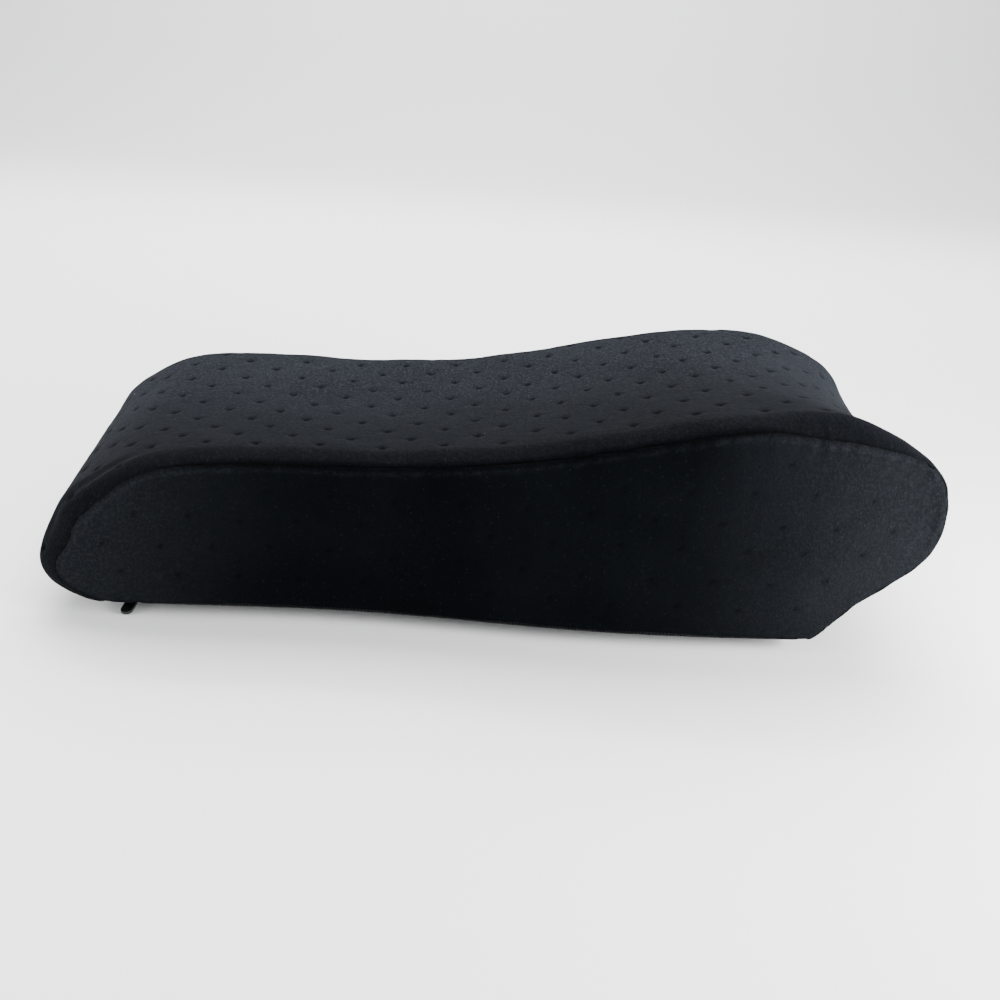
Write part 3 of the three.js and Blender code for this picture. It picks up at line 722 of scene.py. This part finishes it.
def make_wrap():
    """The velvet over the pad: dimples, gathered seams and the folds in its low end."""
    dent_depth, dent_radius, dish_depth, dish_radius = 0.75, 0.95, 0.14, 2.4
    groove_depth, groove_width, pucker_depth, pucker_width = 0.8, 0.8, 0.14, 3.2
    hem_depth, hem_width = 0.8, 1.2
    fold_depth, fold_from_edge, fold_width = 0.9, 10.0, 2.2
    points = wrap_grid(0.75, 12, 128)
    coarse = wrap_grid(4.5, 2, 24)
    moved = drape("wrap_sim", coarse, SIM_PRESSURE)
    lift = resample(swell(moved, coarse, MOST_SWELL_WRAP)[..., None], *points.shape[:2])
    out = grid_normals(points)
    points = points + out * lift
    pad_x = points[..., 0] - SHIFT_X
    mid = points.shape[1] // 2
    t = arc_lengths(points, 1)
    t = t - t[:, [mid]]
    s = np.broadcast_to(arc_lengths(points, 0)[:, [mid]], t.shape)
    edge = np.minimum(t - t[:, [0]], t[:, [-1]] - t)
    end = np.minimum(s, s[-1, 0] - s)
    r = dents(s + 3.0, t + 1.5)
    rim = smooth(3.5, 6.5, edge) * smooth(3.0, 8.0, end)
    dent = np.exp(-(r / dent_radius) ** 2) * rim
    push = -dent_depth * dent - dish_depth * np.exp(-(r / dish_radius) ** 2) * rim
    push += 0.14 * ripple(s, t, 34, 3) + 0.03 * ripple(s, t, 9, 4)
    calm = seam_strength(pad_x)
    groove = np.exp(-(edge / groove_width) ** 2) * calm
    pucker = ripple(s, 0 * t, 6.5, 8) * np.exp(-edge / pucker_width)
    push += pucker_depth * pucker - groove_depth * groove
    push -= hem_depth * np.exp(-(end / hem_width) ** 2)
    # Mask for the painted shade along the rolled edges, fading with the groove towards the ends.
    roll = (1 - smooth(0.5, 10.0, edge)) * calm
    fold = smooth(84, 100, -pad_x) * smooth(14, 26, points[..., 2])
    from_fold = edge - fold_from_edge - 0.03 * t
    push -= fold_depth * fold * np.exp(-(from_fold / fold_width) ** 2) * (t < 0)
    points = points + out * push[..., None]
    # The dent and groove masks carry painted shade into the velvet's colour.
    return grid_object("velvet_wrap", points, {"dent": dent, "groove": groove, "roll": roll})


def coons(edges, nu, nv):
    """A smooth grid inside four edges: low, high, left and right, each by distance."""
    low, high, left, right_edge = edges

    def along(line, count):
        d = np.concatenate([[0], np.cumsum(np.linalg.norm(np.diff(line, axis=0), axis=1))])
        at = np.linspace(0, d[-1], count)
        return np.stack([np.interp(at, d, line[:, k]) for k in range(2)], -1)

    a, b = along(low, nu)[:, None], along(high, nu)[:, None]
    c, d = along(left, nv)[None], along(right_edge, nv)[None]
    u = np.linspace(0, 1, nu)[:, None, None]
    v = np.linspace(0, 1, nv)[None, :, None]
    corners = (a[0, 0] * (1 - u) * (1 - v) + a[-1, 0] * u * (1 - v)
               + b[0, 0] * (1 - u) * v + b[-1, 0] * u * v)
    return a * (1 - v) + b * v + c * (1 - u) + d * u - corners


def seam_outline():
    """The side seam in side view, closed, evenly spaced."""
    st = spread(outline, 0.8, closed=True)
    drop = edge_drop(st)
    line = np.stack([st["x"] - st["ox"] * drop, st["z"] - st["oz"] * drop], -1)
    return st, line


def panel_edges(line):
    """The seam cut at four corners into the edges of a side panel."""
    def nearest(x, z):
        return int(np.argmin((line[:, 0] - x) ** 2 + (line[:, 1] - z) ** 2))

    def piece(a, b):
        return line[a:b + 1] if a <= b else np.vstack([line[a:], line[:b + 1]])

    low_left, high_left = nearest(-104, 4), nearest(-100, 36)
    high_right, low_right = nearest(112, 50), nearest(88, 3)
    left = piece(low_left, high_left)
    high = piece(high_left, high_right)
    right_edge = piece(high_right, low_right)[::-1]
    low = piece(low_right, low_left)[::-1]
    return low, high, left, right_edge


def make_side(name, side, salt):
    """A side panel, side -1 near and 1 far, with its seam gathered all round."""
    dent_depth, dent_radius, dish_depth, dish_radius = 0.30, 0.9, 0.05, 2.4
    groove_depth, groove_width = 0.7, 0.6
    ridge_from_seam, ridge_width, fold_width = 1.25, 0.6, 4.0
    st, line = seam_outline()
    edges = panel_edges(line)

    def panel(nu, nv):
        flat = coons(edges, nu, nv)
        x, z = flat[..., 0], flat[..., 1]
        gap = np.full(x.shape, FAR_AWAY)
        near = np.zeros(x.shape, int)
        for start in range(0, len(line), 40):
            part = line[start:start + 40]
            d = np.hypot(x[..., None] - part[:, 0], z[..., None] - part[:, 1])
            k = d.argmin(-1)
            m = np.take_along_axis(d, k[..., None], -1)[..., 0]
            better = m < gap
            gap[better] = m[better]
            near[better] = k[better] + start
        y = side * (half_width(x) + SIDE_BULGE * smooth(0, 24, gap))
        return x, z, gap, near, place(x, y, z)

    x, z, gap, near, points = panel(290, 62)
    coarse = panel(60, 14)[4]
    moved = drape(name + "_sim", coarse, -SIM_PRESSURE * side)
    lift = resample(swell(moved, coarse, MOST_SWELL_SIDE)[..., None], *points.shape[:2])
    out = np.zeros_like(points)
    out[..., 1] = side
    points = points + out * np.abs(lift)
    along_seam = st["s"][near]
    r = dents(x, z - 27.0, salt)
    rim = smooth(3.5, 9.0, gap)
    dent = np.exp(-(r / dent_radius) ** 2) * rim
    push = -dent_depth * dent - dish_depth * np.exp(-(r / dish_radius) ** 2) * rim
    push += 0.10 * ripple(x, z, 34, 13 + int(side)) + 0.02 * ripple(x, z, 9, 15 + int(side))
    gather = 0.5 + 0.5 * np.clip(ripple(along_seam, 0 * along_seam, 5.5, 21), -1.3, 1.3)
    under = smooth(0.1, 0.7, -st["oz"][near])
    from_ridge = gap - ridge_from_seam - 0.2 * gather
    ridge = np.exp(-(from_ridge / ridge_width) ** 2) * (1 - 0.8 * under)
    calm = seam_strength(x)
    groove = np.exp(-(gap / groove_width) ** 2) * calm
    push += ridge * (0.14 + 0.28 * gather) - groove_depth * groove
    folds = 0.16 + 0.24 * smooth(45, 75, x) * (1 - under)
    push += folds * (gather - 0.5) * np.exp(-gap / fold_width)
    points = points + out * push[..., None]
    # Masks for painted shade in the dents and the seam groove, and for a painted highlight along
    # the ridge.
    shades = {"dent": dent * 0.7, "groove": groove, "ridge": ridge * (0.4 + 0.6 * gather)}
    if side > 0:
        points = points[:, ::-1]
        shades = {key: values[:, ::-1] for key, values in shades.items()}
    return grid_object(name, points, shades)


wrap = thicken(make_wrap(), 1.0)
dress(wrap, velvet, "pad", "velvet", "cover_top_wrap")
side_near = thicken(make_side("velvet_side_near", -1, 0.3), 1.0)
dress(side_near, velvet_panel, "pad", "velvet", "side_panel_near")
side_far = thicken(make_side("velvet_side_far", 1, 0.7), 1.0)
dress(side_far, velvet_panel, "pad", "velvet", "side_panel_far")

# ---------------------------------------------------------------- underside


def flat_stations(start, stop, step):
    """Stations along the flat underside, facing down."""
    st = spread(np.array([[start, 0.0], [stop, 0.0]]), step)
    st["ox"], st["oz"] = 0 * st["x"], -1 + 0 * st["x"]
    return st


def make_underside():
    """The plain cloth under the pad, turned up at its seams."""
    st = flat_stations(UNDERSIDE_SEAM_X + SEAM_OVERLAP, ZIP_X + ZIP_HALF_SLOT, 1.4)
    points = skin(st, *across(6, 60))
    s = arc_lengths(points, 0)
    t = arc_lengths(points, 1)
    t = t - t[:, [t.shape[1] // 2]]
    edge = np.minimum(t - t[:, [0]], t[:, [-1]] - t)
    end = np.minimum(s, s[[-1]] - s)
    lift = 0.1 * np.exp(-(edge / 1.0) ** 2) + 0.4 * np.exp(-(end / 1.0) ** 2)
    lift += 0.10 * (1 + ripple(s, t, 26, 31)) * smooth(2, 8, edge)
    points[..., 2] += lift
    return grid_object("underside_cloth", points)


def make_tab(name, side):
    """The piece of velvet that closes the cover beside the zip."""
    reach = ZIP_HALF_SLOT + SEAM_OVERLAP
    st = flat_stations(ZIP_X + reach, ZIP_X - reach, 0.6)
    turn = np.concatenate([np.zeros(8), np.linspace(0, np.pi / 2, 10)[1:]])
    flat = np.concatenate([np.linspace(0.86, 1, 8), np.ones(9)])
    points = skin(st, np.full(17, float(side)), turn, flat)
    s = arc_lengths(points, 0)
    end = np.minimum(s, s[[-1]] - s)
    points[..., 2] += 0.35 * np.exp(-(end / 0.8) ** 2)
    if side < 0:
        points = points[:, ::-1]
    # Mask for painted shade in the seam groove at each end.
    shades = {"groove": np.exp(-(end / 0.6) ** 2)}
    return grid_object(name, points, shades)


underside = thicken(make_underside(), 0.9)
dress(underside, underside_cloth, "pad", "underside_cloth", "cover_underside")
for side, word in ((-1, "near"), (1, "far")):
    tab = thicken(make_tab("tab_" + word, side), 0.9)
    dress(tab, velvet, "pad", "velvet", "zip_tab_" + word)


def make_foam():
    """The foam block inside the cover, relieved over the zip."""
    st = spread(outline, 2.0, closed=True)
    points = skin(st, *across(4, 40), depth=FOAM_DEPTH)
    over_zip = 1 - smooth(4, 9, np.abs(points[..., 0] - SHIFT_X - ZIP_X))
    over_zip = over_zip * (1 - smooth(43, 46, np.abs(points[..., 1]))) * (points[..., 2] < 12)
    points[..., 2] += ZIP_RELIEF * over_zip
    return close_ends(grid_object("foam_block", points, closed_u=True), triangles=True)


foam_block = make_foam()
dress(foam_block, foam, "pad", "foam", "foam_core")

# ---------------------------------------------------------------- zip

for node in ("zip_tape_end", "zip_tape_underside"):
    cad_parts[node].data.materials[0] = tape_cloth
for node in ("zip_stop_near", "zip_stop_far", "zip_slider", "zip_pull"):
    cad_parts[node].data.materials[0] = zip_metal


def make_coil(name, side):
    """A nylon coil: a flattened spiral sewn along the tape's edge."""
    turns, per_turn = 48, 14
    count = turns * per_turn
    half_length = 39.6
    curve = bpy.data.curves.new(name, "CURVE")
    curve.dimensions = "3D"
    curve.bevel_depth = 0.27 * MM
    curve.bevel_resolution = 2
    spline = curve.splines.new("POLY")
    spline.points.add(count)
    for k in range(count + 1):
        angle = 2 * math.pi * k / per_turn
        x = ZIP_X + SHIFT_X + side * (0.95 + 0.65 * math.cos(angle))
        y = half_length * (2 * k / count - 1)
        z = BASE_Z + 0.66 + 0.26 * math.sin(angle)
        spline.points[k].co = (x * MM, y * MM, z * MM, 1)
    obj = bpy.data.objects.new(name, curve)
    bpy.context.scene.collection.objects.link(obj)
    return obj


for side, word in ((-1, "end"), (1, "underside")):
    dress(make_coil("coil_" + word, side), zip_nylon, "pad", "zip_coil", "zip_coil_" + word)

# ---------------------------------------------------------------- straps


RELIEF_ROOM = 0.06
RIB_PITCH = 1.25
WEFT_PITCH = 0.9
STRAP_STEP = (0, 14)
STITCH_PITCH = 2.2
STITCH_LIFT = 0.02
STITCH_INSET = 1.2
PATCH_BACKING = 0.36


def box_limits(node):
    """The corners of a CAD node's box, in millimetres."""
    low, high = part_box(node)
    return np.array(low) / MM, np.array(high) / MM


def slab(name, grid_x, grid_y, top, under):
    """A closed piece between two heights over one grid."""
    ring_top = np.stack([grid_x, grid_y, top], -1)
    ring_under = np.stack([grid_x, grid_y, under], -1)[:, ::-1]
    obj = grid_object(name, np.concatenate([ring_top, ring_under, ring_top[:, :1]], 1))
    return close_ends(obj, weld=True)


def make_web(name, node, free_sign):
    """Elastic webbing that follows its CAD strap: ribbed, with rolled selvedges."""
    low, high = box_limits(node)
    nx, ny = 61, 120
    x = np.linspace(low[0], high[0], nx)
    y = np.linspace(low[1], high[1], ny)
    if free_sign < 0:
        travel = high[1] - y
    else:
        travel = y - low[1]
    drop = smooth(*STRAP_STEP, travel) * (high[2] - low[2] - WEB_THICKNESS)
    rib = 0.045 * np.cos(2 * np.pi * (x - low[0]) / RIB_PITCH)
    selvedge = -0.18 * np.exp(-(np.minimum(x - low[0], high[0] - x) / 0.5) ** 2)
    end = -0.12 * np.exp(-(np.minimum(y - low[1], high[1] - y) / 0.5) ** 2)
    weft = 0.02 * np.cos(2 * np.pi * y / WEFT_PITCH)
    relief = (rib + selvedge)[None] + (end + weft)[:, None]
    top = (high[2] - drop - RELIEF_ROOM)[:, None] + relief
    under = (high[2] - drop - WEB_THICKNESS + RELIEF_ROOM)[:, None] - relief
    grid_x, grid_y = np.meshgrid(x, y)
    return slab(name, grid_x, grid_y, top, under)


def make_patch(name, node, facing, bumpiness, pitch):
    """A hook or loop patch with its pile standing on the side that grips."""
    low, high = box_limits(node)
    nx = int((high[0] - low[0]) / pitch) * 2 + 1
    ny = int((high[1] - low[1]) / pitch) * 2 + 1
    x = np.linspace(low[0], high[0], nx)
    y = np.linspace(low[1], high[1], ny)
    grid_x, grid_y = np.meshgrid(x, y)
    edge = np.minimum(np.minimum(grid_x - low[0], high[0] - grid_x),
                      np.minimum(grid_y - low[1], high[1] - grid_y))
    rng = np.random.default_rng(len(name))
    rough = bumpiness * rng.uniform(0, 1, grid_x.shape) * smooth(0.3, 1.2, edge)
    face = PATCH_BACKING + rough - 0.15 * np.exp(-(edge / 0.5) ** 2)
    if facing > 0:
        top, under = low[2] + face, low[2] + 0 * face
    else:
        top, under = high[2] + 0 * face, high[2] - face
    return slab(name, grid_x, grid_y, top, under)


def stitch_line(mesh, start, stop, pitch, z, radius=0.16):
    """Short raised threads between two points, all on one level."""
    a, b = np.array(start, float), np.array(stop, float)
    length = np.linalg.norm(b - a)
    count = max(1, int(length / pitch))
    along = (b - a) / length
    aside = np.array([-along[1], along[0]])
    reach = length / count * 0.36
    ring_count, round_count = 5, 6
    for k in range(count):
        middle = a + along * length * (k + 0.5) / count
        rings = []
        for step in range(ring_count):
            f = step / (ring_count - 1)
            centre = middle + along * reach * (2 * f - 1)
            girth = radius * math.sin(math.pi * (0.12 + 0.76 * f)) ** 0.5
            ring = []
            for q in range(round_count):
                angle = 2 * math.pi * q / round_count
                x, y = centre + aside * girth * math.cos(angle)
                height = z + girth * 0.7 * math.sin(angle)
                ring.append(mesh.verts.new((x * MM, y * MM, height * MM)))
            rings.append(ring)
        for first, second in zip(rings, rings[1:]):
            for q in range(round_count):
                after = (q + 1) % round_count
                mesh.faces.new((first[q], first[after], second[after], second[q]))
        mesh.faces.new(rings[0][::-1])
        mesh.faces.new(rings[-1])


def stitches(name, body, lines, z):
    """Rows of stitches as one piece."""
    mesh = bmesh.new()
    for start, stop in lines:
        stitch_line(mesh, start, stop, STITCH_PITCH, z)
    data = bpy.data.meshes.new(name)
    mesh.to_mesh(data)
    mesh.free()
    data.shade_smooth()
    obj = bpy.data.objects.new(name, data)
    bpy.context.scene.collection.objects.link(obj)
    return dress(obj, thread, body, "webbing")


def boxed(low, high, inset):
    """The four sides and two diagonals of a sewn box."""
    x0, y0, x1, y1 = low[0] + inset, low[1] + inset, high[0] - inset, high[1] - inset
    a, b, c, d = (x0, y0), (x1, y0), (x1, y1), (x0, y1)
    return [(a, b), (b, c), (c, d), (d, a), (a, c), (b, d)]


for end in STRAP_ENDS:
    long_web = make_web(f"long_webbing_{end}", f"strap_long_{end}", -1)
    dress(long_web, webbing, f"long_strap_{end}", "webbing", f"strap_long_{end}")
    short_web = make_web(f"short_webbing_{end}", f"strap_short_{end}", 1)
    dress(short_web, webbing, f"short_strap_{end}", "webbing", f"strap_short_{end}")
    hooks = make_patch(f"hooks_{end}", f"hook_patch_{end}", 1, 0.30, 0.9)
    dress(hooks, hook_tape, f"long_strap_{end}", "hook_tape", f"hook_patch_{end}")
    loops = make_patch(f"loops_{end}", f"loop_patch_{end}", -1, 0.26, 0.7)
    dress(loops, loop_tape, f"short_strap_{end}", "loop_tape", f"loop_patch_{end}")
    for word in ("far", "near"):
        node = f"strap_anchor_{word}_{end}"
        low, high = box_limits(node)
        sewn = make_web(f"sewn_end_{word}_{end}", node, -1)
        dress(sewn, webbing, "pad", "webbing", node)
        stitches(f"stitches_{word}_{end}", "pad", boxed(low, high, STITCH_INSET),
                 low[2] + STITCH_LIFT)


def make_label():
    """A blank care label, sewn along one edge and a little curled at the other."""
    low, high = box_limits("care_label")
    x = np.linspace(low[0], high[0], 41)
    y = np.linspace(low[1], high[1], 61)
    grid_x, grid_y = np.meshgrid(x, y)
    free = (high[0] - grid_x) / (high[0] - low[0])
    z = high[2] - 0.06 - 0.10 * free + 0.05 * ripple(grid_x, grid_y, 14, 41) * free
    return grid_object("blank_label", np.stack([grid_x, grid_y, z], -1)[:, ::-1])


blank = thicken(make_label(), 0.18)
dress(blank, label, "pad", "label", "care_label")
low, high = box_limits("care_label")
sewn_edge = ((high[0] - 1.0, low[1] + 1), (high[0] - 1.0, high[1] - 1))
stitches("label_stitches", "pad", [sewn_edge], low[2] + STITCH_LIFT)

# ---------------------------------------------------------------- floor and light


def make_backdrop():
    """A pale floor that sweeps up behind the part without a visible edge."""
    floor_end, radius, height, half = 1.6, 1.2, 3.0, 4.0
    profile = [(-2.5, 0.0), (floor_end, 0.0)]
    steps = 16
    for k in range(1, steps + 1):
        angle = math.pi / 2 * k / steps
        profile.append((floor_end + radius * math.sin(angle), radius * (1 - math.cos(angle))))
    profile.append((floor_end + radius, height))
    points = np.array([[(x / MM, y / MM, z / MM) for x in (-half, half)] for y, z in profile])
    obj = grid_object("backdrop", points)
    n = Nodes("backdrop")
    tone = n.noise(n.position(), 1.5, 2.0)
    obj.data.materials.append(n.finish(
        n.mix(tone, (0.94, 0.94, 0.94), (0.96, 0.96, 0.96)), None, 0.9))
    return obj


make_backdrop()


def area_light(name, spot_at, target, size, power):
    """A soft light; places and sizes in metres, power in watts."""
    data = bpy.data.lights.new(name, "AREA")
    data.shape = "RECTANGLE"
    data.size, data.size_y = size
    data.energy = power
    obj = bpy.data.objects.new(name, data)
    bpy.context.scene.collection.objects.link(obj)
    direction = Vector(target) - Vector(spot_at)
    obj.location = spot_at
    obj.rotation_euler = direction.to_track_quat("-Z", "Y").to_euler()


area_light("overhead", (0.0, 0.55, 1.1), (0, 0.05, 0.03), (1.6, 1.0), 42)
area_light("left", (-0.32, -0.16, 0.12), (-0.1, -0.05, 0.03), (0.12, 0.12), 0.75)
area_light("right", (0.32, -0.16, 0.12), (0.1, -0.05, 0.03), (0.12, 0.12), 3.0)
area_light("backdrop", (0.0, 1.3, 2.2), (0, 2.6, 0.7), (2.0, 0.8), 85)
world = bpy.data.worlds.new("world")
world.use_nodes = True
world.node_tree.nodes["Background"].inputs["Color"].default_value = (0.95, 0.97, 1.0, 1)
world.node_tree.nodes["Background"].inputs["Strength"].default_value = 0.62
bpy.context.scene.world = world
